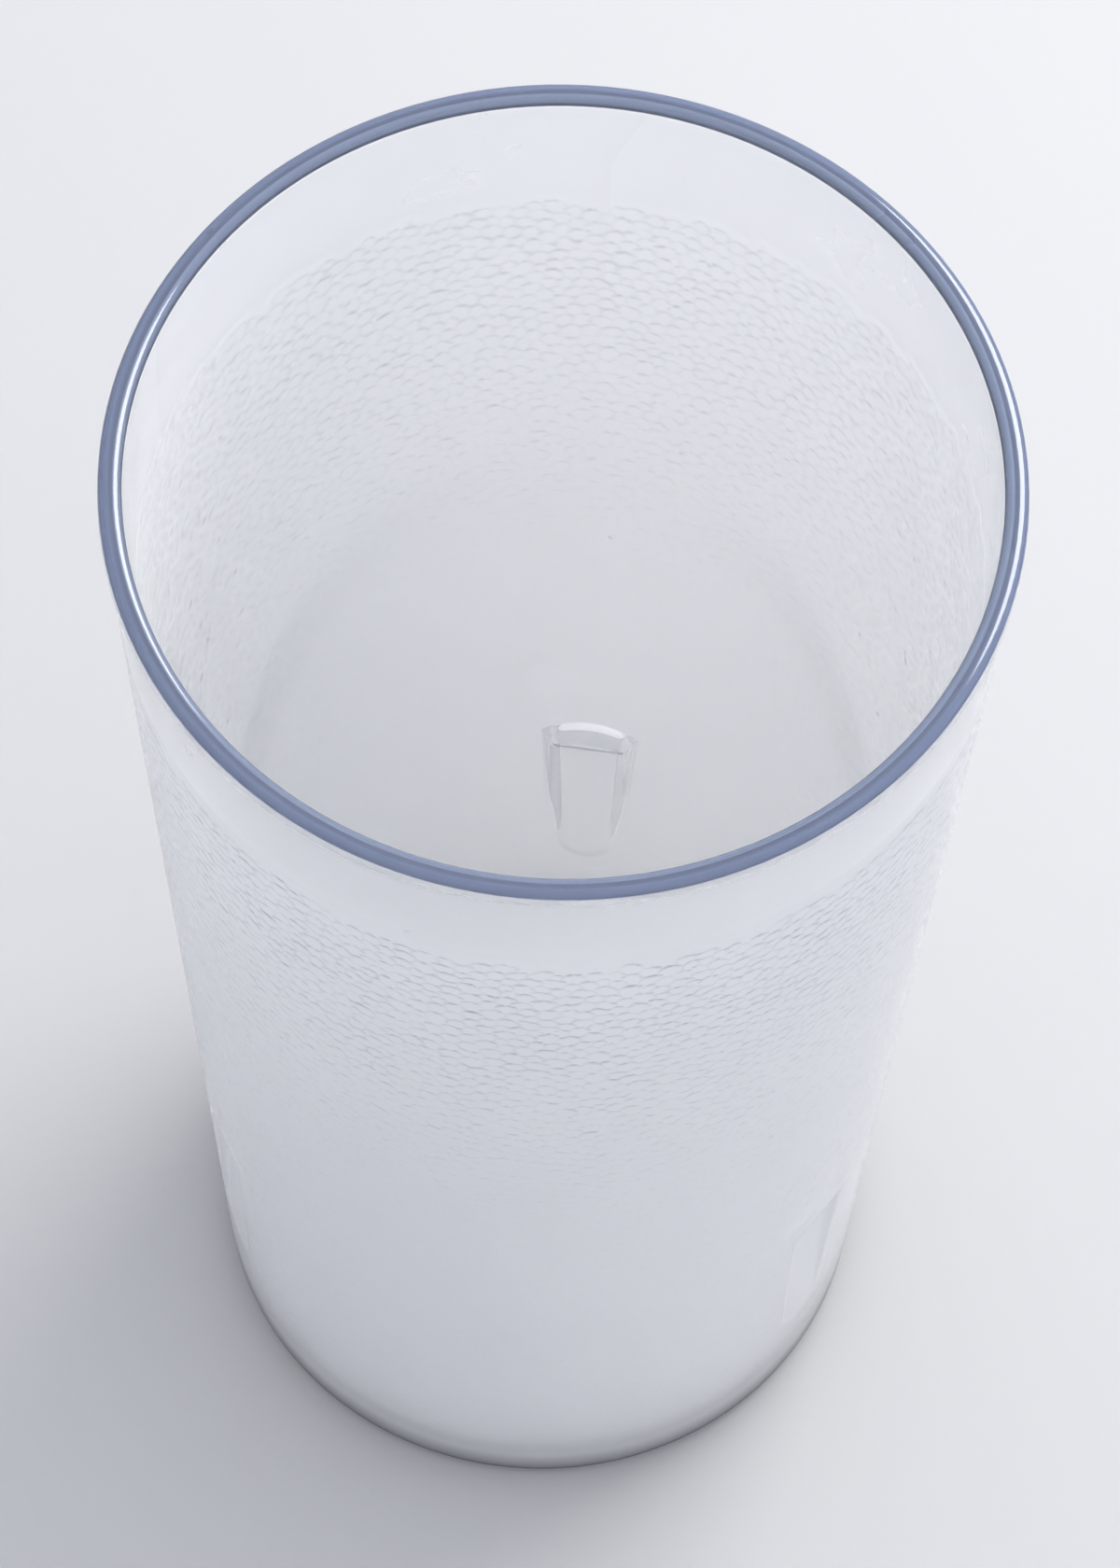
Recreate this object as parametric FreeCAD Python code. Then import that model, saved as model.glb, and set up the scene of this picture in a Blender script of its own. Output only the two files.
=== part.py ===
import FreeCAD, Part

# A clear plastic stacking tumbler, moulded in one piece.
# Millimetres. +Z is up, and the origin is the centre of the foot, on the surface it stands on.
import math
import os

from FreeCAD import Vector

# Overall form
height = 149.0
rim_diameter = 82.0
foot_diameter = 63.0

# Rim: a thick lip that stands a little proud of the wall
lip_thickness = 2.15
lip_height = 2.4
lip_overhang = 0.25
lip_rounding = 0.9
lip_shoulder_height = 0.5

# Wall and floor
foot_wall_thickness = 2.2
floor_thickness = 2.6
floor_corner_rounding = 3.0
heel_rounding = 2.0

# Underside: a shallow hollow inside a ring that the tumbler stands on
hollow_depth = 1.0
foot_ring_width = 2.4
hollow_slope_width = 1.0

# Stacking lugs: flat panels pressed into the lower wall, each with a ledge behind it
lug_count = 3
first_lug_angle = -36.3
lug_top = 40.5
lug_foot = 14.0
lug_top_width = 7.3
lug_foot_width = 4.7
lug_arch_rise = 1.3
lug_panel_rounding = 0.5
lug_wall_thickness = 2.0
lug_side_thickness = 1.2
lug_ledge_rounding = 0.7

rim_radius = rim_diameter / 2
foot_radius = foot_diameter / 2
wall_top_radius = rim_radius - lip_overhang
lip_bottom = height - lip_height
mouth_radius = rim_radius - lip_thickness
inner_foot_radius = foot_radius - foot_wall_thickness
floor_top = hollow_depth + floor_thickness


def wall_radius(z):
    """Radius of the plain outer wall at a height."""
    return foot_radius + (wall_top_radius - foot_radius) * z / height


def inner_radius(z):
    """Radius of the plain inner wall at a height."""
    return inner_foot_radius + (mouth_radius - inner_foot_radius) * z / height


def rounded_wire(corners):
    """A closed wire in the XZ plane through corners (x, z, rounding), each rounded by a tangent arc."""
    joints = []
    for i, (x, z, rounding) in enumerate(corners):
        here = Vector(x, 0, z)
        before = Vector(corners[i - 1][0], 0, corners[i - 1][1])
        after = Vector(corners[(i + 1) % len(corners)][0], 0, corners[(i + 1) % len(corners)][1])
        back = (before - here).normalize()
        ahead = (after - here).normalize()
        if rounding == 0:
            joints.append((here, None, here))
            continue
        half_angle = back.getAngle(ahead) / 2
        reach = rounding / math.tan(half_angle)
        middle = (back + ahead).normalize()
        to_arc = rounding / math.sin(half_angle) - rounding
        joints.append((here + back * reach, here + middle * to_arc, here + ahead * reach))
    edges = []
    for i, (start, middle, end) in enumerate(joints):
        if middle is not None:
            edges.append(Part.Arc(start, middle, end).toShape())
        following = joints[(i + 1) % len(joints)][0]
        edges.append(Part.LineSegment(end, following).toShape())
    return Part.Wire(edges)


def turned(corners):
    """The solid that a closed section makes when it is turned about the Z axis."""
    return Part.Face(rounded_wire(corners)).revolve(Vector(0, 0, 0), Vector(0, 0, 1), 360)


def cup_body():
    """The tumbler without its lugs: floor, foot, wall and lip as one turned section."""
    ring_inner_radius = foot_radius - heel_rounding - foot_ring_width
    return turned([
        (0, hollow_depth, 0),
        (ring_inner_radius - hollow_slope_width, hollow_depth, 0),
        (ring_inner_radius, 0, 0),
        (foot_radius, 0, heel_rounding),
        (wall_radius(lip_bottom), lip_bottom, 0),
        (rim_radius, lip_bottom + lip_shoulder_height, 0),
        (rim_radius, height, lip_rounding),
        (mouth_radius, height, lip_rounding),
        (inner_radius(floor_top), floor_top, floor_corner_rounding),
        (0, floor_top, 0),
    ])


def wall_envelope():
    """Everything inside the plain outer wall, from the foot to the lip."""
    return turned([
        (0, 0, 0),
        (foot_radius, 0, heel_rounding),
        (wall_radius(lip_bottom), lip_bottom, 0),
        (0, lip_bottom, 0),
    ])


def lug_block(front, margin, rounding):
    """A block with the lug's arched outline, larger by a margin, whose rounded front faces the axis."""
    top = lug_top + margin
    half_top = lug_top_width / 2 + margin
    half_foot = lug_foot_width / 2 + margin
    spring = top - lug_arch_rise
    foot_left = Vector(front, half_foot, floor_top)
    foot_right = Vector(front, -half_foot, floor_top)
    top_right = Vector(front, -half_top, spring)
    top_left = Vector(front, half_top, spring)
    outline = Part.Wire([
        Part.LineSegment(foot_left, foot_right).toShape(),
        Part.LineSegment(foot_right, top_right).toShape(),
        Part.Arc(top_right, Vector(front, 0, top), top_left).toShape(),
        Part.LineSegment(top_left, foot_left).toShape(),
    ])
    block = Part.Face(outline).extrude(Vector(rim_radius - front, 0, 0))
    front_edges = [edge for edge in block.Edges if edge.BoundBox.XMax < front + rounding / 10]
    return block.makeFillet(rounding, front_edges)


def with_lugs(cup):
    """The cup with each lug's ledge added inside and its flat panel sunk into the outer wall."""
    panel = wall_radius(lug_foot)
    recess = lug_block(panel, 0, lug_panel_rounding)
    ledge = lug_block(panel - lug_wall_thickness, lug_side_thickness, lug_ledge_rounding)
    ledge = ledge.common(wall_envelope())
    for number in range(lug_count):
        angle = first_lug_angle + number * 360 / lug_count
        turn = FreeCAD.Rotation(Vector(0, 0, 1), angle)
        placed_ledge = ledge.copy()
        placed_ledge.Placement = FreeCAD.Placement(Vector(0, 0, 0), turn)
        placed_recess = recess.copy()
        placed_recess.Placement = FreeCAD.Placement(Vector(0, 0, 0), turn)
        cup = cup.fuse(placed_ledge).cut(placed_recess)
    return cup


tumbler = with_lugs(cup_body())
os.makedirs("parts", exist_ok=True)
tumbler.exportStep("parts/tumbler.step")
print("solids", len(tumbler.Solids), "valid", tumbler.isValid())
print("volume cm3", round(tumbler.Volume / 1000, 2), "box", tumbler.BoundBox)
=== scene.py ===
# A clear plastic stacking tumbler with a pebbled wall, on a pale floor in soft light.
# Metres, +Z up, origin at the centre of the foot.
import math
import random

import bmesh
import bpy
from mathutils import Matrix, Vector
from mathutils.geometry import delaunay_2d_cdt


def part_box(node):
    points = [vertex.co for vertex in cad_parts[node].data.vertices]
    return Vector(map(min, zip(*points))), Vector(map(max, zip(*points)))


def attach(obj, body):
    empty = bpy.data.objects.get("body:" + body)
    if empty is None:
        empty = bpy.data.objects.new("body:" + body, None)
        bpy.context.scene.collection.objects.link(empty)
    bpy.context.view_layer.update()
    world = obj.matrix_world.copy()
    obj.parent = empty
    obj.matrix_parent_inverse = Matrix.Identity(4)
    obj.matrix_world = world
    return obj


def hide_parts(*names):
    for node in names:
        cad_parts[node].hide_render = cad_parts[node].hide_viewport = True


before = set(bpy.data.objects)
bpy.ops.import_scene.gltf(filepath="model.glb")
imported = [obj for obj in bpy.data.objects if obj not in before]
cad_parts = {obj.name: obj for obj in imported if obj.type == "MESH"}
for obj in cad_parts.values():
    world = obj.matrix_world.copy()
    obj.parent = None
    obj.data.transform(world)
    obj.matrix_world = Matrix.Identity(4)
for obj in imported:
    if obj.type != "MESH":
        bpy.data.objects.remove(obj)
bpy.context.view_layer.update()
high_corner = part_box("tumbler")[1]

MM = 0.001
FULL_TURN = 2 * math.pi

# Turned form: the same sizes as the solid
height = high_corner.z
rim_radius = high_corner.x
foot_radius = 31.5 * MM
lip_thickness = 2.15 * MM
lip_height = 2.4 * MM
lip_overhang = 0.25 * MM
lip_rounding = 0.9 * MM
lip_shoulder_height = 0.5 * MM
foot_wall_thickness = 2.2 * MM
floor_thickness = 2.6 * MM
floor_corner_rounding = 3.0 * MM
heel_rounding = 2.0 * MM
hollow_depth = 1.0 * MM
hollow_slope_width = 1.0 * MM
foot_ring_width = 2.4 * MM

# Edges that the solid leaves sharp
hollow_edge_rounding = 0.15 * MM
shoulder_rounding = 0.9 * MM

# Stacking lugs
lug_count = 3
first_lug_angle = math.radians(-36.3)
lug_top = 40.5 * MM
lug_foot = 14.0 * MM
lug_top_width = 7.3 * MM
lug_foot_width = 4.7 * MM
lug_arch_rise = 1.3 * MM
lug_wall_thickness = 2.0 * MM
lug_side_thickness = 1.2 * MM
lug_point_spacing = 0.8 * MM

# The rounded edge of a lug's outer recess and of its ledge inside, as steps of
# (distance in from the outline, share of the depth)
recess_steps = [
    (-0.25 * MM, 0),
    (0, 0),
    (0.1 * MM, 0.2),
    (0.25 * MM, 0.55),
    (0.45 * MM, 0.85),
    (0.7 * MM, 1),
    (0.85 * MM, 1),
]
ledge_steps = [
    (-0.25 * MM, 0),
    (0, 0),
    (0.2 * MM, 0.1),
    (0.5 * MM, 0.38),
    (0.8 * MM, 0.7),
    (1.1 * MM, 0.92),
    (1.5 * MM, 1),
    (1.65 * MM, 1),
]

# Moulded grain on the outer wall, deep under the plain band and shallow towards the foot.
# Pebbles lie closest_share of a pebble apart or more, and each groove gets painted shade, darkest where
# it runs level
grain_bottom = 6.0 * MM
grain_top = 134.0 * MM
pebble_width = 1.5 * MM
pebble_height = 1.7 * MM
closest_share = 0.81
farthest_step = 1.6
tries_round_a_place = 12
groove_depth = 0.08 * MM
groove_sag = 0.1 * MM
groove_arch = 0.3 * MM
shallowest_groove = 0.75
pebble_rise = 0.04 * MM
lowest_pebble = 0.4
deep_grain_bottom = 118.0 * MM
faint_grain_top = 28.0 * MM
faint_grain_share = 0.45
border_clearance = 0.8 * MM
faintest_groove_shade = 0.2

# Where the surface is satin and where it is glossy. What lies deeper than outer_skin is the inside
outer_skin = 1.8 * MM
satin_fade = 1.2 * MM
band_satin = 0.55
clear_above = 146.0 * MM
most_satin_at = 134.0 * MM
least_satin_below = 75.0 * MM
least_satin_share = 0.15
inner_satin_strength = 0.5

# The upward-facing top of the lip, as heights below the rim where its slate begins and is whole,
# and the painted contact shadow on the ring that the tumbler stands on
lip_top_outside = (0.70 * MM, 0.30 * MM)
lip_top_inside = (0.85 * MM, 0.55 * MM)
foot_shadow_height = 3.0 * MM
foot_shadow_strength = 0.5

# How finely the turned parts are divided
columns = 144
arc_steps = 7
longest_row = 9.0 * MM
inner_row = 2.2 * MM
inner_shake = 0.05
innermost_ring = 4.0 * MM
ledge_zone_bottom = 7.2 * MM
ledge_zone_top = 46.0 * MM

# Clear plastic. Each pair is the least and the most that the soft clouds in the material make of it
plastic_ior = 1.57
clear_colour = (0.985, 0.99, 1.0, 1)
satin_colours = ((0.975, 0.98, 0.99, 1), (0.99, 0.995, 1.0, 1))
# Painted shade in the grooves: its colour, the groove depth where it begins, and its strength
painted_groove_shade = (0.34, 0.36, 0.41, 1)
groove_shade_from = 0.55
groove_shade_strength = 1.6
gloss_roughness = (0.06, 0.12)
satin_roughness = (0.40, 0.49)
cloud_scale = 90.0
cloud_detail = 3.0
patch_scale = 450.0
patch_detail = 1.0
glossy_clearness = 0.85
satin_clearness = 0.77
satin_clearness_at_foot = 0.71
cloudier_below = 110.0 * MM
# The lip's slate and the painted contact shadow on the foot ring: how clear they are, and where the mask
# begins and is whole
slate_or_shade_clearness = 0.5
slate_or_shade_from = 0.05
slate_or_shade_whole = 0.45

# Slate across the lip, with painted shade along its rounded inner and outer edges and a painted highlight
# strip towards the inside, as (share of the way from its inner to its outer side, colour)
lip_slate_and_shade_bands = [
    (0.0, (0.02, 0.026, 0.05, 1)),
    (0.06, (0.07, 0.095, 0.165, 1)),
    (0.34, (0.10, 0.13, 0.21, 1)),
    (0.40, (0.028, 0.040, 0.082, 1)),
    (0.52, (0.036, 0.052, 0.105, 1)),
    (0.62, (0.056, 0.080, 0.155, 1)),
    (0.96, (0.060, 0.085, 0.165, 1)),
    (1.0, (0.012, 0.017, 0.036, 1)),
]

# Floor, sky and lamp
floor_colour = (0.335, 0.334, 0.337, 1)
floor_roughness = 0.9
floor_shine = 0.1
floor_half_side = 2.5
floor_below_foot = 0.05 * MM
sky_colour = (0.90, 0.925, 1.0, 1)
darkest_sky = 0.78
brightest_sky = 2.10
brighter_side = (0.45, 0.3, 0.85)
lamp_place = (0.27, 0.27, 0.48)
lamp_size = 0.36
lamp_power = 3.9
lamp_colour = (1.0, 0.985, 0.95)

wall_top_radius = rim_radius - lip_overhang
mouth_radius = rim_radius - lip_thickness
inner_foot_radius = foot_radius - foot_wall_thickness
floor_top = hollow_depth + floor_thickness
lip_bottom = height - lip_height
ring_inner_radius = foot_radius - heel_rounding - foot_ring_width
ring_angles = [FULL_TURN * (i + 0.5) / columns for i in range(columns)]
dice = random.Random(7)


def wall_radius(z):
    """Radius of the plain outer wall at a height."""
    return foot_radius + (wall_top_radius - foot_radius) * z / height


def inner_radius(z):
    """Radius of the plain inner wall at a height."""
    return inner_foot_radius + (mouth_radius - inner_foot_radius) * z / height


def slate_or_foot_shadow_share(radius, z):
    """How far a place takes the lip's slate on its upward-facing top or the painted contact shadow on the
    foot ring, from 0 to 1.
    """
    begins, whole = lip_top_outside if radius > rim_radius - lip_thickness / 2 else lip_top_inside
    on_lip = (z - height + begins) / (begins - whole)
    # Painted contact shadow, darkest at the bottom of the foot ring
    painted_foot_shadow = 0.0
    if radius > ring_inner_radius - hollow_slope_width:
        painted_foot_shadow = foot_shadow_strength * min(1.0, 2 - 2 * z / foot_shadow_height)
    return min(1.0, max(0.0, on_lip, painted_foot_shadow))


def turned_satin(radius, z):
    """How satin a turned part is: the inside by height, the outer wall wholly, the plain band partly."""
    if radius < wall_radius(z) - outer_skin:
        return inner_satin(z)
    if z < grain_top:
        return 1.0
    return band_satin if z < lip_bottom + lip_shoulder_height else 0.0


def inner_satin(z):
    """How satin the inner wall is: glossy at the lip, most satin where the grain begins, less below."""
    if z > most_satin_at:
        return inner_satin_strength * max(0.0, (clear_above - z) / (clear_above - most_satin_at))
    fade = max(0.0, (z - least_satin_below) / (most_satin_at - least_satin_below))
    return inner_satin_strength * (least_satin_share + (1 - least_satin_share) * fade)


def grain_share(z):
    """How deep the grain is at a height, as a share of its full depth."""
    fade = min(1.0, max(0.0, (z - faint_grain_top) / (deep_grain_bottom - faint_grain_top)))
    return faint_grain_share + (1 - faint_grain_share) * fade


class Skin:
    """Points and faces of the tumbler's one closed surface, before they become a mesh."""

    def __init__(self):
        self.points = []
        self.faces = []
        self.satin = []
        self.groove = []
        self.edge = []
        # Painted groove shade for each fan triangle, by face number
        self.lines = {}

    def point(self, x, y, z, satin, groove=0.0):
        self.points.append((x, y, z))
        self.satin.append(satin)
        self.groove.append(groove)
        # edge: the lip's slate and the painted contact shadow on the foot ring
        self.edge.append(slate_or_foot_shadow_share(math.hypot(x, y), z))
        return len(self.points) - 1

    def turned_point(self, angle, radius, z, satin, groove=0.0):
        return self.point(radius * math.cos(angle), radius * math.sin(angle), z, satin, groove)

    def ring(self, radius, z, satin):
        return [self.turned_point(angle, radius, z, satin) for angle in ring_angles]

    def bridge(self, first, second):
        for i in range(len(first)):
            after = (i + 1) % len(first)
            self.faces.append((first[i], first[after], second[after], second[i]))

    def turned_strip(self, section, first_ring, last_ring=None):
        """Turns an open section into rings, from a ring that exists to another, if one is given."""
        ring = first_ring
        inner = section[1:-1] if last_ring else section[1:]
        for radius, z in inner:
            following = self.ring(radius, z, turned_satin(radius, z))
            self.bridge(ring, following)
            ring = following
        if last_ring:
            self.bridge(ring, last_ring)
        return ring

    def close(self, ring, z, satin):
        """Closes a small ring with a fan to a point on the axis."""
        centre = self.point(0, 0, z, satin)
        for i in range(len(ring)):
            self.faces.append((ring[i], ring[(i + 1) % len(ring)], centre))


def rounded_section(corners):
    """An open section through corners (radius, z, rounding), with arcs there and long runs divided."""
    section = [corners[0][:2]]
    for i in range(1, len(corners) - 1):
        here = Vector(corners[i][:2])
        rounding = corners[i][2]
        back = (Vector(corners[i - 1][:2]) - here).normalized()
        ahead = (Vector(corners[i + 1][:2]) - here).normalized()
        half_angle = back.angle(ahead) / 2
        start = here + back * (rounding / math.tan(half_angle))
        centre = here + (back + ahead).normalized() * (rounding / math.sin(half_angle))
        sweep = (math.pi - 2 * half_angle) / arc_steps
        to_start = start - centre
        if (ahead - back).cross(to_start) > 0:
            sweep = -sweep
        for step in range(arc_steps + 1):
            section.append(tuple(centre + Matrix.Rotation(sweep * step, 2) @ to_start))
    section.append(corners[-1][:2])
    divided = [section[0]]
    for start, end in zip(section, section[1:]):
        run = Vector(end) - Vector(start)
        parts = max(1, math.ceil(run.length / longest_row))
        divided += [tuple(Vector(start) + run * (part + 1) / parts) for part in range(parts)]
    return divided


def triangles_on_wall(places, reference_radius, holes, upward_stretch=1.0):
    """Triangles that join places (angle, z) round a wall that closes on itself, outside the holes.

    Each is (three place numbers, angle and z of its centre)."""
    seam_overlap = 0.4
    same_place = 1e-6
    copies = []
    for shift in (-FULL_TURN, 0, FULL_TURN):
        for number, (angle, z) in enumerate(places):
            if -seam_overlap < angle + shift < FULL_TURN + seam_overlap:
                copies.append((number, angle + shift, z))
    flat = [Vector((angle * reference_radius / MM, z * upward_stretch / MM)) for _, angle, z in copies]
    made = delaunay_2d_cdt(flat, [], [], 0, same_place)
    source = [origins[0] for origins in made[3]]
    triangles = []
    for corners in made[2]:
        ends = [copies[source[corner]] for corner in corners]
        angle = sum(end[1] for end in ends) / 3
        z = sum(end[2] for end in ends) / 3
        if 0 <= angle < FULL_TURN and not any(inside(angle, z, hole) for hole in holes):
            triangles.append((tuple(end[0] for end in ends), angle, z))
    return triangles


def inside(angle, z, outline):
    """Whether a place on the wall lies inside a closed outline of (angle, z)."""
    hit = False
    for (a0, z0), (a1, z1) in zip(outline, outline[1:] + outline[:1]):
        if (z0 > z) != (z1 > z) and angle < a0 + (z - z0) * (a1 - a0) / (z1 - z0):
            hit = not hit
    return hit


def turned_difference(a, b):
    """The angle from b to a, the short way round."""
    return (a - b + math.pi) % FULL_TURN - math.pi


def lug_outline(front, margin, radius_at):
    """The lug's outline (sideways, z), where a block with a flat front at this radius leaves the wall."""
    half_foot = lug_foot_width / 2 + margin
    half_top = lug_top_width / 2 + margin
    top = lug_top + margin
    spring = top - lug_arch_rise
    slope = (radius_at(height) - radius_at(0)) / height

    def half_width(z):
        return half_foot + (half_top - half_foot) * (z - floor_top) / (spring - floor_top)

    def leaves_wall(sideways):
        return (math.hypot(front, sideways) - radius_at(0)) / slope

    half_bottom = half_foot
    rounds_to_settle = 6
    for _ in range(rounds_to_settle):
        half_bottom = half_width(leaves_wall(half_bottom))
    bottom_z = leaves_wall(half_bottom)
    outline = []
    steps = round(2 * half_bottom / lug_point_spacing)
    for step in range(steps):
        sideways = -half_bottom + 2 * half_bottom * step / steps
        outline.append((sideways, leaves_wall(sideways)))
    side_steps = round((spring - bottom_z) / lug_point_spacing)
    side = [bottom_z + (spring - bottom_z) * step / side_steps for step in range(side_steps)]
    outline += [(half_width(z), z) for z in side]
    arch_radius = (half_top ** 2 + lug_arch_rise ** 2) / (2 * lug_arch_rise)
    half_arch = math.asin(half_top / arch_radius)
    arch_steps = round(2 * half_top / lug_point_spacing)
    for step in range(arch_steps + 1):
        lean = half_arch * (1 - 2 * step / arch_steps)
        outline.append((arch_radius * math.sin(lean), top - arch_radius * (1 - math.cos(lean))))
    outline += [(-half_width(z), z) for z in reversed(side[1:])]
    return outline


def inset(outline, distance):
    """A closed outline moved inwards by a distance."""
    moved = []
    count = len(outline)
    for i in range(count):
        before = Vector(outline[i - 1])
        after = Vector(outline[(i + 1) % count])
        along = (after - before).normalized()
        moved.append((outline[i][0] - along.y * distance, outline[i][1] + along.x * distance))
    return moved


def add_lug_face(skin, lug_angle, front, margin, radius_at, steps, satin_at):
    """Sinks or raises a lug's flat face from the wall in steps, and returns its rim.

    The rim is (the skin's points, their places) where the face meets the wall."""
    outline = lug_outline(front, margin, radius_at)
    cos = math.cos(lug_angle)
    sin = math.sin(lug_angle)
    loops = []
    places = []
    for distance, share in steps:
        loop = []
        for sideways, z in inset(outline, distance):
            on_wall = math.sqrt(radius_at(z) ** 2 - sideways ** 2)
            x = on_wall + (front - on_wall) * share
            loop.append(skin.point(x * cos - sideways * sin, x * sin + sideways * cos, z, satin_at(z)))
            if not loops:
                places.append(((lug_angle + math.atan2(sideways, on_wall)) % FULL_TURN, z))
        loops.append(loop)
    for outer, inner in zip(loops, loops[1:]):
        skin.bridge(outer, inner)
    skin.faces.append(tuple(loops[-1]))
    return loops[0], places


def wholly_satin(z):
    """The finish of a lug's recess, which is the grained wall's at any height."""
    return 1.0


def zone_border(bottom, top, bottom_ring, top_ring, lug_rims):
    """The ends of a zone of the wall: the places there, the skin's points at them, the lugs' outlines."""
    places = [(angle, bottom) for angle in ring_angles] + [(angle, top) for angle in ring_angles]
    points = list(bottom_ring) + list(top_ring)
    outlines = []
    for loop, outline in lug_rims:
        places += outline
        points += loop
        outlines.append(outline)
    return places, points, outlines


def rows_of_places(bottom, top):
    """Rows of places (angle, z) round the inner wall, each half a step on and slightly shaken."""
    rows = round((top - bottom) / inner_row)
    places = []
    for row in range(1, rows):
        z = bottom + (top - bottom) * row / rows
        for i in range(columns):
            sideways = dice.uniform(-inner_shake, inner_shake)
            upward = dice.uniform(-inner_shake, inner_shake)
            angle = FULL_TURN * (i + 0.5 * (row % 2) + sideways) / columns
            places.append((angle % FULL_TURN, z + upward * inner_row))
    return places


def scattered_places(bottom, top, radius):
    """Places (angle, z) for the pebbles, at random but no nearer than most of a pebble apart."""
    stretch = pebble_width / pebble_height
    reach = closest_share * pebble_width
    cells_round = math.ceil(FULL_TURN * radius * math.sqrt(2) / reach)
    cell_angle = FULL_TURN / cells_round
    cell_height = reach / math.sqrt(2) / stretch
    cells_in_reach = 2
    grid = {}

    def cell(angle, z):
        return int(angle / cell_angle) % cells_round, int((z - bottom) / cell_height)

    def is_free(angle, z):
        column, row = cell(angle, z)
        for i in range(column - cells_in_reach, column + cells_in_reach + 1):
            for j in range(row - cells_in_reach, row + cells_in_reach + 1):
                other = grid.get((i % cells_round, j))
                if other is None:
                    continue
                across = turned_difference(angle, other[0]) * radius
                if math.hypot(across, (z - other[1]) * stretch) < reach:
                    return False
        return True

    first = (math.pi, (bottom + top) / 2)
    grid[cell(*first)] = first
    growing = [first]
    while growing:
        pick = dice.randrange(len(growing))
        angle, z = growing[pick]
        for _ in range(tries_round_a_place):
            course = dice.uniform(0, FULL_TURN)
            step = reach * dice.uniform(1.0, farthest_step)
            new_angle = (angle + step * math.cos(course) / radius) % FULL_TURN
            new_z = z + step * math.sin(course) / stretch
            if bottom < new_z < top and is_free(new_angle, new_z):
                grid[cell(new_angle, new_z)] = (new_angle, new_z)
                growing.append((new_angle, new_z))
                break
        else:
            growing[pick] = growing[-1]
            growing.pop()
    return list(grid.values())


def clear_of_border(places, bottom, top, outlines, radius):
    """The places that keep clear of a zone's two ends and of the lugs' outlines."""
    kept = []
    for angle, z in places:
        if not bottom + border_clearance < z < top - border_clearance:
            continue
        blocked = False
        for outline in outlines:
            near = any(
                math.hypot((angle - a) * radius, z - edge_z) < border_clearance for a, edge_z in outline
            )
            if near or inside(angle, z, outline):
                blocked = True
                break
        if not blocked:
            kept.append((angle, z))
    return kept


def add_groove_point(skin, angle, z, at_border):
    """A point at the bottom of a groove, of a depth left to chance, and flush next to a smooth border."""
    share = 0 if at_border else grain_share(z) * dice.uniform(shallowest_groove, 1.0)
    return skin.turned_point(angle, wall_radius(z) - groove_depth * share, z, 1.0, share)


def add_wavy_points(skin, triangles, edge_uses, border_count, radius):
    """A point between each two triangles that meet, off the straight line so that the groove is wavy.

    The result names it by the two triangles and holds (point, angle, z)."""
    wavy_points = {}
    for users in edge_uses.values():
        if len(users) == 1:
            continue
        (first_corners, first_angle, first_z), (second_corners, second_angle, second_z) = (
            triangles[user] for user in users
        )
        at_border = min(first_corners + second_corners) < border_count
        half_across = turned_difference(second_angle, first_angle) / 2
        half_up = (second_z - first_z) / 2
        length = math.hypot(half_across * radius, half_up)
        sway = 0 if at_border else dice.uniform(-groove_sag, groove_arch) / max(length, groove_arch)
        sway = math.copysign(sway, sway * half_across)
        angle = first_angle + half_across - half_up * sway / radius
        z = first_z + half_up + half_across * radius * sway
        wavy_points[frozenset(users)] = (add_groove_point(skin, angle, z, at_border), angle, z)
    return wavy_points


def spoke(seed, angle, z, number):
    """A place near a seed (angle, z), as (direction, distance across, distance up, number)."""
    across = turned_difference(angle, seed[0]) * wall_radius(seed[1])
    return math.atan2(z - seed[1], across), across, z - seed[1], number


def groove_round(seed, around, triangles, groove_points, wavy_points, at_border):
    """The groove round a seed, through the triangles that touch it, as (point, across, up)."""
    spokes = sorted(spoke(seed, *triangles[number][1:], number) for number in around)
    start = 0
    if at_border:
        gaps = [(spokes[i][0] - spokes[i - 1][0]) % FULL_TURN for i in range(len(spokes))]
        start = gaps.index(max(gaps))
    spokes = spokes[start:] + spokes[:start]
    rim = []
    for here, after in zip(spokes, spokes[1:] + spokes[:1]):
        rim.append((groove_points[here[3]], here[1], here[2]))
        wavy = wavy_points.get(frozenset((here[3], after[3])))
        if wavy and not (at_border and after is spokes[0]):
            point, angle, z = wavy
            _, across, up, _ = spoke(seed, angle, z, None)
            rim.append((point, across, up))
    return rim


def add_fan(skin, middle, rim):
    """Triangles from a middle point to a groove's places (point, across, up), with painted shade that is
    stronger where the groove runs level.
    """
    for (here, across, up), (after, next_across, next_up) in zip(rim, rim[1:]):
        run = math.hypot(next_across - across, next_up - up)
        level = abs(next_across - across) / run
        skin.lines[len(skin.faces)] = faintest_groove_shade + (1 - faintest_groove_shade) * level ** 2
        skin.faces.append((middle, here, after))


def add_pebble(skin, seed, rim):
    """One raised pebble inside its groove."""
    middle_across = sum(across for _, across, _ in rim) / len(rim)
    middle_up = sum(up for _, _, up in rim) / len(rim)
    rise = pebble_rise * grain_share(seed[1]) * dice.uniform(lowest_pebble, 1.0)
    z = seed[1] + middle_up
    angle = seed[0] + middle_across / wall_radius(seed[1])
    top = skin.turned_point(angle, wall_radius(z) + rise, z, 1.0)
    add_fan(skin, top, rim + rim[:1])


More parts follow.
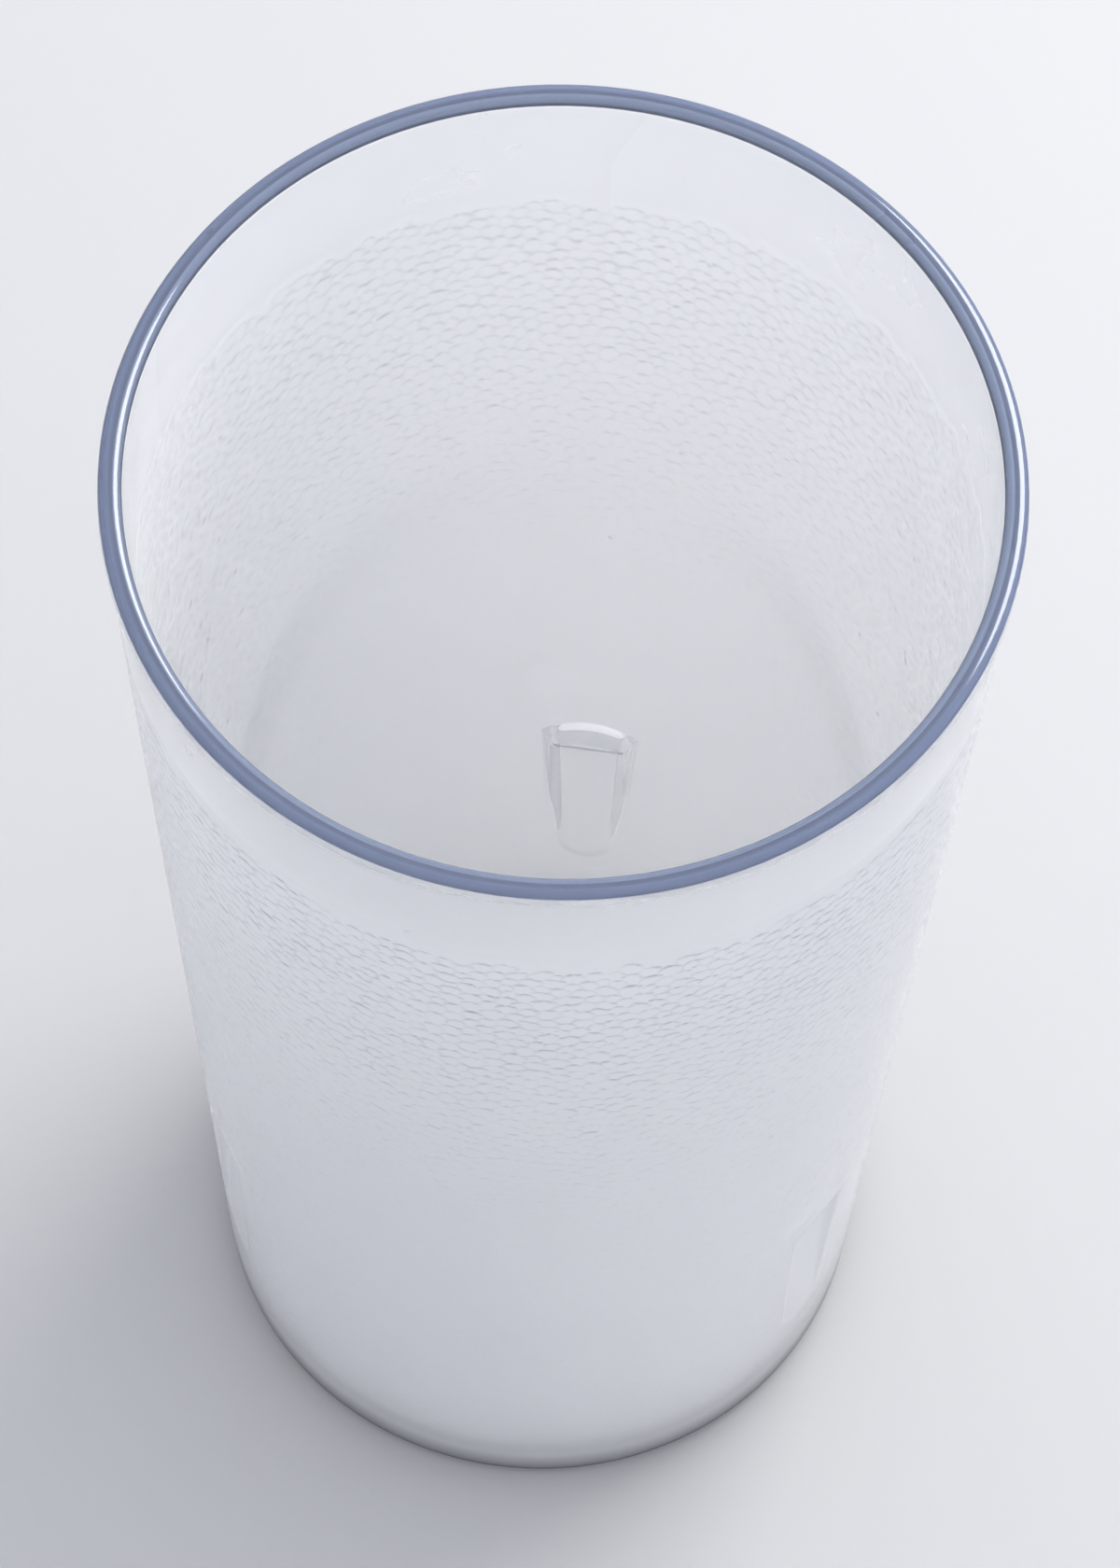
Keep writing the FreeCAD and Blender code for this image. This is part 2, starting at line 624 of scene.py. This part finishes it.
def add_grain(skin, bottom_ring, top_ring, lug_rims):
    """Covers the outer wall between two rings and round the lugs with pebbles and their grooves."""
    places, border_points, outlines = zone_border(
        grain_bottom, grain_top, bottom_ring, top_ring, lug_rims
    )
    border_count = len(places)
    radius = wall_radius((grain_bottom + grain_top) / 2)
    seeds = scattered_places(grain_bottom, grain_top, radius)
    places += clear_of_border(seeds, grain_bottom, grain_top, outlines, radius)
    triangles = triangles_on_wall(places, radius, outlines, pebble_width / pebble_height)

    touching = [[] for _ in places]
    edge_uses = {}
    groove_points = []
    for number, (corners, angle, z) in enumerate(triangles):
        groove_points.append(add_groove_point(skin, angle, z, min(corners) < border_count))
        for corner in corners:
            touching[corner].append(number)
        for i in range(3):
            edge = tuple(sorted((corners[i - 1], corners[i])))
            edge_uses.setdefault(edge, []).append(number)
    wavy_points = add_wavy_points(skin, triangles, edge_uses, border_count, radius)

    for place, around in enumerate(touching):
        at_border = place < border_count
        rim = groove_round(places[place], around, triangles, groove_points, wavy_points, at_border)
        if at_border:
            add_fan(skin, border_points[place], rim)
        else:
            add_pebble(skin, places[place], rim)
    for (first, second), users in edge_uses.items():
        if len(users) == 1 and first < border_count and second < border_count:
            skin.faces.append((border_points[first], border_points[second], groove_points[users[0]]))


def add_inner_lug_zone(skin, bottom_ring, top_ring, lug_rims):
    """The smooth inner wall round the ledges."""
    places, points, outlines = zone_border(
        ledge_zone_bottom, ledge_zone_top, bottom_ring, top_ring, lug_rims
    )
    radius = inner_radius((ledge_zone_bottom + ledge_zone_top) / 2)
    rows = rows_of_places(ledge_zone_bottom, ledge_zone_top)
    for angle, z in clear_of_border(rows, ledge_zone_bottom, ledge_zone_top, outlines, radius):
        places.append((angle, z))
        points.append(skin.turned_point(angle, inner_radius(z), z, inner_satin(z)))
    for corners, _, _ in triangles_on_wall(places, radius, outlines):
        skin.faces.append(tuple(points[corner] for corner in corners))


def add_lugs(skin):
    """The lugs' recesses in the outer wall and their ledges inside, as two lists of rims."""
    panel = wall_radius(lug_foot)
    recess_rims = []
    ledge_rims = []
    for number in range(lug_count):
        angle = first_lug_angle + FULL_TURN * number / lug_count
        recess_rims.append(add_lug_face(skin, angle, panel, 0, wall_radius, recess_steps, wholly_satin))
        front = panel - lug_wall_thickness
        ledge_rims.append(
            add_lug_face(skin, angle, front, lug_side_thickness, inner_radius, ledge_steps, inner_satin)
        )
    return recess_rims, ledge_rims


def add_band_and_lip(skin, grain_ring, inside_ring):
    """The plain band above the grain, the lip, and the upper inner wall."""
    band_foot = grain_top + satin_fade
    band_ring = skin.ring(wall_radius(band_foot), band_foot, band_satin)
    skin.bridge(grain_ring, band_ring)
    section = rounded_section([
        (wall_radius(band_foot), band_foot, 0),
        (wall_radius(lip_bottom), lip_bottom, shoulder_rounding),
        (rim_radius, lip_bottom + lip_shoulder_height, shoulder_rounding),
        (rim_radius, height, lip_rounding),
        (mouth_radius, height, lip_rounding),
        (inner_radius(ledge_zone_top), ledge_zone_top, 0),
    ])
    skin.turned_strip(section, band_ring, inside_ring)


def add_floor(skin, inside_ring):
    """The floor inside, from the lower inner wall to the axis."""
    section = rounded_section([
        (inner_radius(ledge_zone_bottom), ledge_zone_bottom, 0),
        (inner_radius(floor_top), floor_top, floor_corner_rounding),
        (innermost_ring, floor_top, 0),
    ])
    skin.close(skin.turned_strip(section, inside_ring), floor_top, 1.0)


def add_underside(skin, grain_ring):
    """The heel, the foot ring and the shallow hollow inside it."""
    section = rounded_section([
        (wall_radius(grain_bottom), grain_bottom, 0),
        (foot_radius, 0, heel_rounding),
        (ring_inner_radius, 0, hollow_edge_rounding),
        (ring_inner_radius - hollow_slope_width, hollow_depth, hollow_edge_rounding),
        (innermost_ring, hollow_depth, 0),
    ])
    skin.close(skin.turned_strip(section, grain_ring), hollow_depth, 1.0)


def build_skin():
    """The whole tumbler as one closed surface."""
    skin = Skin()
    recess_rims, ledge_rims = add_lugs(skin)
    grain_low_ring = skin.ring(wall_radius(grain_bottom), grain_bottom, 1.0)
    grain_high_ring = skin.ring(wall_radius(grain_top), grain_top, 1.0)
    add_grain(skin, grain_low_ring, grain_high_ring, recess_rims)
    low_radius = inner_radius(ledge_zone_bottom)
    high_radius = inner_radius(ledge_zone_top)
    ledge_low_ring = skin.ring(low_radius, ledge_zone_bottom, inner_satin(ledge_zone_bottom))
    ledge_high_ring = skin.ring(high_radius, ledge_zone_top, inner_satin(ledge_zone_top))
    add_inner_lug_zone(skin, ledge_low_ring, ledge_high_ring, ledge_rims)
    add_band_and_lip(skin, grain_high_ring, ledge_high_ring)
    add_floor(skin, ledge_low_ring)
    add_underside(skin, grain_low_ring)
    return skin


def skin_object(skin, name):
    """The skin as a mesh object, its faces turned outwards, with the values that the material reads."""
    mesh = bpy.data.meshes.new(name)
    mesh.from_pydata(skin.points, [], skin.faces)
    shaped = bmesh.new()
    shaped.from_mesh(mesh)
    bmesh.ops.recalc_face_normals(shaped, faces=shaped.faces)
    open_edges = sum(1 for edge in shaped.edges if not edge.is_manifold)
    triangles = sum(len(face.verts) - 2 for face in shaped.faces)
    print("tumbler skin: open edges", open_edges, "triangles", triangles)
    shaped.to_mesh(mesh)
    shaped.free()
    # edge holds the lip's slate and the painted contact shadow on the foot ring; line holds the painted
    # groove shade
    for label, values in (("satin", skin.satin), ("groove", skin.groove), ("edge", skin.edge)):
        layer = mesh.attributes.new(label, "FLOAT", "POINT")
        layer.data.foreach_set("value", values)
    line = mesh.attributes.new("line", "FLOAT", "FACE")
    line.data.foreach_set("value", [skin.lines.get(number, 0.0) for number in range(len(skin.faces))])
    mesh.shade_smooth()
    piece = bpy.data.objects.new(name, mesh)
    bpy.context.scene.collection.objects.link(piece)
    return piece


def attribute(nodes, name):
    """One of the skin's values."""
    reader = nodes.new("ShaderNodeAttribute")
    reader.attribute_name = name
    return reader.outputs["Fac"]


def noise(nodes, links, place, scale, detail):
    """Soft random patches in the plastic."""
    patches = nodes.new("ShaderNodeTexNoise")
    patches.inputs["Scale"].default_value = scale
    patches.inputs["Detail"].default_value = detail
    links.new(place, patches.inputs["Vector"])
    return patches.outputs["Fac"]


def share_between(nodes, links, value, start, end, curve="LINEAR"):
    """A share that goes from 0 to 1 as a value goes from the start to the end."""
    ramp = nodes.new("ShaderNodeMapRange")
    ramp.interpolation_type = curve
    ramp.inputs["From Min"].default_value = start
    ramp.inputs["From Max"].default_value = end
    links.new(value, ramp.inputs["Value"])
    return ramp.outputs["Result"]


def times(nodes, links, value, factor):
    """A value multiplied by a number or by another value."""
    product = nodes.new("ShaderNodeMath")
    product.operation = "MULTIPLY"
    links.new(value, product.inputs[0])
    if isinstance(factor, bpy.types.NodeSocket):
        links.new(factor, product.inputs[1])
    else:
        product.inputs[1].default_value = factor
    return product.outputs["Value"]


def blend(nodes, links, share, first, second, kind="FLOAT"):
    """From the first number, colour or value to the second as the share goes from 0 to 1."""
    mix = nodes.new("ShaderNodeMix")
    mix.data_type = kind
    links.new(share, mix.inputs["Factor"])
    inputs = [socket for socket in mix.inputs if socket.enabled and socket.name in ("A", "B")]
    for socket, value in zip(inputs, (first, second)):
        if isinstance(value, bpy.types.NodeSocket):
            links.new(value, socket)
        else:
            socket.default_value = value
    return next(socket for socket in mix.outputs if socket.enabled)


def lip_slate_and_shade(nodes, links, place):
    """The lip's slate by distance from the axis, with painted shade at its rounded edges and a painted
    highlight strip; nearer the axis than the mouth it gives the darkest band, which is the painted
    contact shadow on the foot ring.
    """
    level = nodes.new("ShaderNodeVectorMath")
    level.operation = "MULTIPLY"
    level.inputs[1].default_value = (1, 1, 0)
    links.new(place, level.inputs[0])
    distance = nodes.new("ShaderNodeVectorMath")
    distance.operation = "LENGTH"
    links.new(level.outputs["Vector"], distance.inputs[0])
    across = share_between(nodes, links, distance.outputs["Value"], mouth_radius, rim_radius)
    bands = nodes.new("ShaderNodeValToRGB")
    stops = bands.color_ramp.elements
    stops[0].position, stops[0].color = lip_slate_and_shade_bands[0]
    stops[1].position, stops[1].color = lip_slate_and_shade_bands[-1]
    for position, colour in lip_slate_and_shade_bands[1:-1]:
        stops.new(position).color = colour
    links.new(across, bands.inputs["Fac"])
    return bands.outputs["Color"]


def groove_shaded_colour(nodes, links, place, cloud):
    """The satin wall's colour, with painted shade as fine darker lines in the grooves, stronger where
    they run level.
    """
    patch = noise(nodes, links, place, patch_scale, patch_detail)
    level_groove_shade = times(nodes, links, attribute(nodes, "line"), groove_shade_strength)
    depth = attribute(nodes, "groove")
    in_groove = share_between(nodes, links, depth, groove_shade_from, 1.0, "SMOOTHSTEP")
    line = times(nodes, links, in_groove, blend(nodes, links, patch, 0.0, level_groove_shade))
    milky = blend(nodes, links, cloud, *satin_colours, "RGBA")
    return blend(nodes, links, line, milky, painted_groove_shade, "RGBA")


def clear_plastic():
    """Clear, faintly blue plastic: glossy at the lip, satin where the mould was grained, with painted
    shade in the grooves, at the lip's rounded edges and on the foot ring.
    """
    material = bpy.data.materials.new("clear_plastic")
    material.use_nodes = True
    nodes = material.node_tree.nodes
    links = material.node_tree.links
    shader = nodes["Principled BSDF"]
    shader.inputs["IOR"].default_value = plastic_ior
    place = nodes.new("ShaderNodeTexCoord").outputs["Object"]
    cloud = noise(nodes, links, place, cloud_scale, cloud_detail)
    satin = attribute(nodes, "satin")
    # Mask of the lip's slate and of the painted contact shadow on the foot ring
    slate_or_shade_mask = share_between(nodes, links, attribute(nodes, "edge"), slate_or_shade_from, slate_or_shade_whole)

    # The satin colour with painted shade in the grooves
    grained = groove_shaded_colour(nodes, links, place, cloud)
    body_colour = blend(nodes, links, satin, clear_colour, grained, "RGBA")
    # Slate on the lip with painted shade at its edges, and painted contact shadow on the foot ring, over
    # the body's colour
    slate_or_shade_colour = lip_slate_and_shade(nodes, links, place)
    links.new(blend(nodes, links, slate_or_shade_mask, body_colour, slate_or_shade_colour, "RGBA"), shader.inputs["Base Color"])

    position = nodes.new("ShaderNodeSeparateXYZ")
    links.new(place, position.inputs["Vector"])
    towards_foot = share_between(nodes, links, position.outputs["Z"], cloudier_below, 0.0)
    through_satin = blend(nodes, links, towards_foot, satin_clearness, satin_clearness_at_foot)
    through_body = blend(nodes, links, satin, glossy_clearness, through_satin)
    clearness = blend(nodes, links, slate_or_shade_mask, through_body, slate_or_shade_clearness)
    links.new(clearness, shader.inputs["Transmission Weight"])

    glossy = blend(nodes, links, cloud, *gloss_roughness)
    frosted = blend(nodes, links, cloud, *satin_roughness)
    links.new(blend(nodes, links, satin, glossy, frosted), shader.inputs["Roughness"])
    return material


def pale_floor():
    """A wide, plain, pale sheet under the tumbler."""
    material = bpy.data.materials.new("pale_floor")
    material.use_nodes = True
    shader = material.node_tree.nodes["Principled BSDF"]
    shader.inputs["Base Color"].default_value = floor_colour
    shader.inputs["Roughness"].default_value = floor_roughness
    shader.inputs["Specular IOR Level"].default_value = floor_shine
    mesh = bpy.data.meshes.new("floor")
    corners = []
    for x_side, y_side in ((-1, -1), (1, -1), (1, 1), (-1, 1)):
        corners.append((x_side * floor_half_side, y_side * floor_half_side, -floor_below_foot))
    mesh.from_pydata(corners, [], [(0, 1, 2, 3)])
    mesh.materials.append(material)
    floor = bpy.data.objects.new("floor", mesh)
    bpy.context.scene.collection.objects.link(floor)
    return floor


def soft_sky():
    """Soft, faintly blue light from all round, stronger from one side."""
    world = bpy.data.worlds.new("soft_sky")
    world.use_nodes = True
    nodes = world.node_tree.nodes
    links = world.node_tree.links
    background = nodes["Background"]
    background.inputs["Color"].default_value = sky_colour
    place = nodes.new("ShaderNodeTexCoord")
    facing = nodes.new("ShaderNodeVectorMath")
    facing.operation = "DOT_PRODUCT"
    facing.inputs[1].default_value = Vector(brighter_side).normalized()
    links.new(place.outputs["Generated"], facing.inputs[0])
    strength = nodes.new("ShaderNodeMapRange")
    strength.inputs["From Min"].default_value = -1.0
    strength.inputs["To Min"].default_value = darkest_sky
    strength.inputs["To Max"].default_value = brightest_sky
    links.new(facing.outputs["Value"], strength.inputs["Value"])
    links.new(strength.outputs["Result"], background.inputs["Strength"])
    bpy.context.scene.world = world


def soft_lamp():
    """One large soft lamp, high at the back right, turned towards the middle of the tumbler."""
    lamp = bpy.data.lights.new("key", "AREA")
    lamp.shape = "DISK"
    lamp.size = lamp_size
    lamp.energy = lamp_power
    lamp.color = lamp_colour
    holder = bpy.data.objects.new("key", lamp)
    holder.location = lamp_place
    holder.rotation_mode = "QUATERNION"
    to_middle = Vector((0, 0, height / 2)) - Vector(lamp_place)
    holder.rotation_quaternion = to_middle.to_track_quat("-Z", "Y")
    holder.visible_camera = False
    bpy.context.scene.collection.objects.link(holder)


def photo_camera():
    """The photograph's view, found from the lip's ellipse, the sides and the foot's edge."""
    frame_long_side_px = 1680
    focal_length_px = 10000
    sensor = 36.0
    distance_from_lip = 819.93 * MM
    elevation = math.radians(60.98)
    pan = math.radians(-0.042)
    tilt = math.radians(-1.865)
    roll = math.radians(-2.01)
    lens = bpy.data.cameras.new("camera")
    lens.sensor_width = sensor
    lens.lens = sensor * focal_length_px / frame_long_side_px
    lens.clip_start = 0.01
    lens.clip_end = 20.0
    camera = bpy.data.objects.new("camera", lens)
    away = Vector((0, -math.cos(elevation), math.sin(elevation)))
    turn = Matrix.Rotation(math.pi / 2 - elevation, 4, "X") @ Matrix.Rotation(pan, 4, "Y")
    turn = turn @ Matrix.Rotation(tilt, 4, "X") @ Matrix.Rotation(-roll, 4, "Z")
    camera.matrix_world = Matrix.Translation(Vector((0, 0, height)) + away * distance_from_lip) @ turn
    bpy.context.scene.collection.objects.link(camera)
    bpy.context.scene.camera = camera


tumbler = skin_object(build_skin(), "clear_tumbler")
tumbler.data.materials.append(clear_plastic())
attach(tumbler, "root")
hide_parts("tumbler")

pale_floor()
soft_sky()
soft_lamp()
photo_camera()
bpy.context.scene.view_settings.view_transform = "Standard"
cycles = bpy.context.scene.cycles
cycles.max_bounces = 20
cycles.diffuse_bounces = 8
cycles.glossy_bounces = 10
cycles.transmission_bounces = 20
